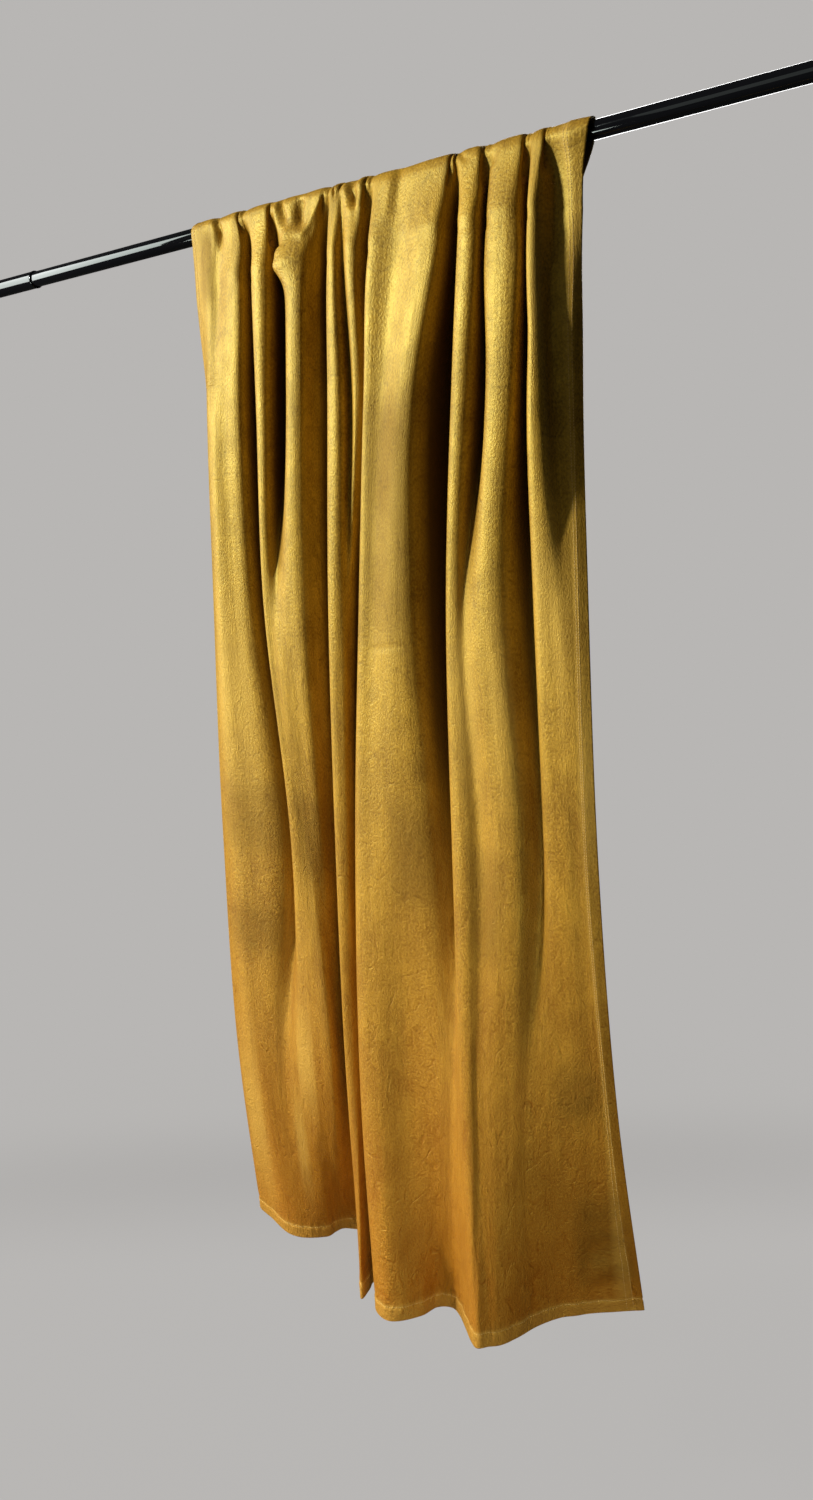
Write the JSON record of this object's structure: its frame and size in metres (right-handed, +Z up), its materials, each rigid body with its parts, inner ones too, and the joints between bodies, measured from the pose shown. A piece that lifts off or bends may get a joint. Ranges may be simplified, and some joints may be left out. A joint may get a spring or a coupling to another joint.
{
  "type": "velvet curtain panel with its telescopic rod",
  "caption": "Unlined velvet curtain panel with a sewn rod pocket, gathered on a slim black telescopic rod and hanging in deep uneven folds.",
  "frame": {"origin": "centre of the flat left end face of the rod, on the rod's axis", "axes": "+X along the rod towards its right end, +Y to the back of the curtain, +Z up"},
  "size_m": [1.8, 0.2587, 1.7806],
  "materials": {
    "ochre_velvet": "short dense pile, satin sheen, mustard ochre",
    "black_painted_steel": "smooth semi-gloss black paint"
  },
  "bodies": {
    "root": {"curtain_panel": "ochre_velvet", "rod_outer_tube": "black_painted_steel", "rod_middle_tube": "black_painted_steel", "rod_inner_tube": "black_painted_steel"}
  },
  "joints": []
}
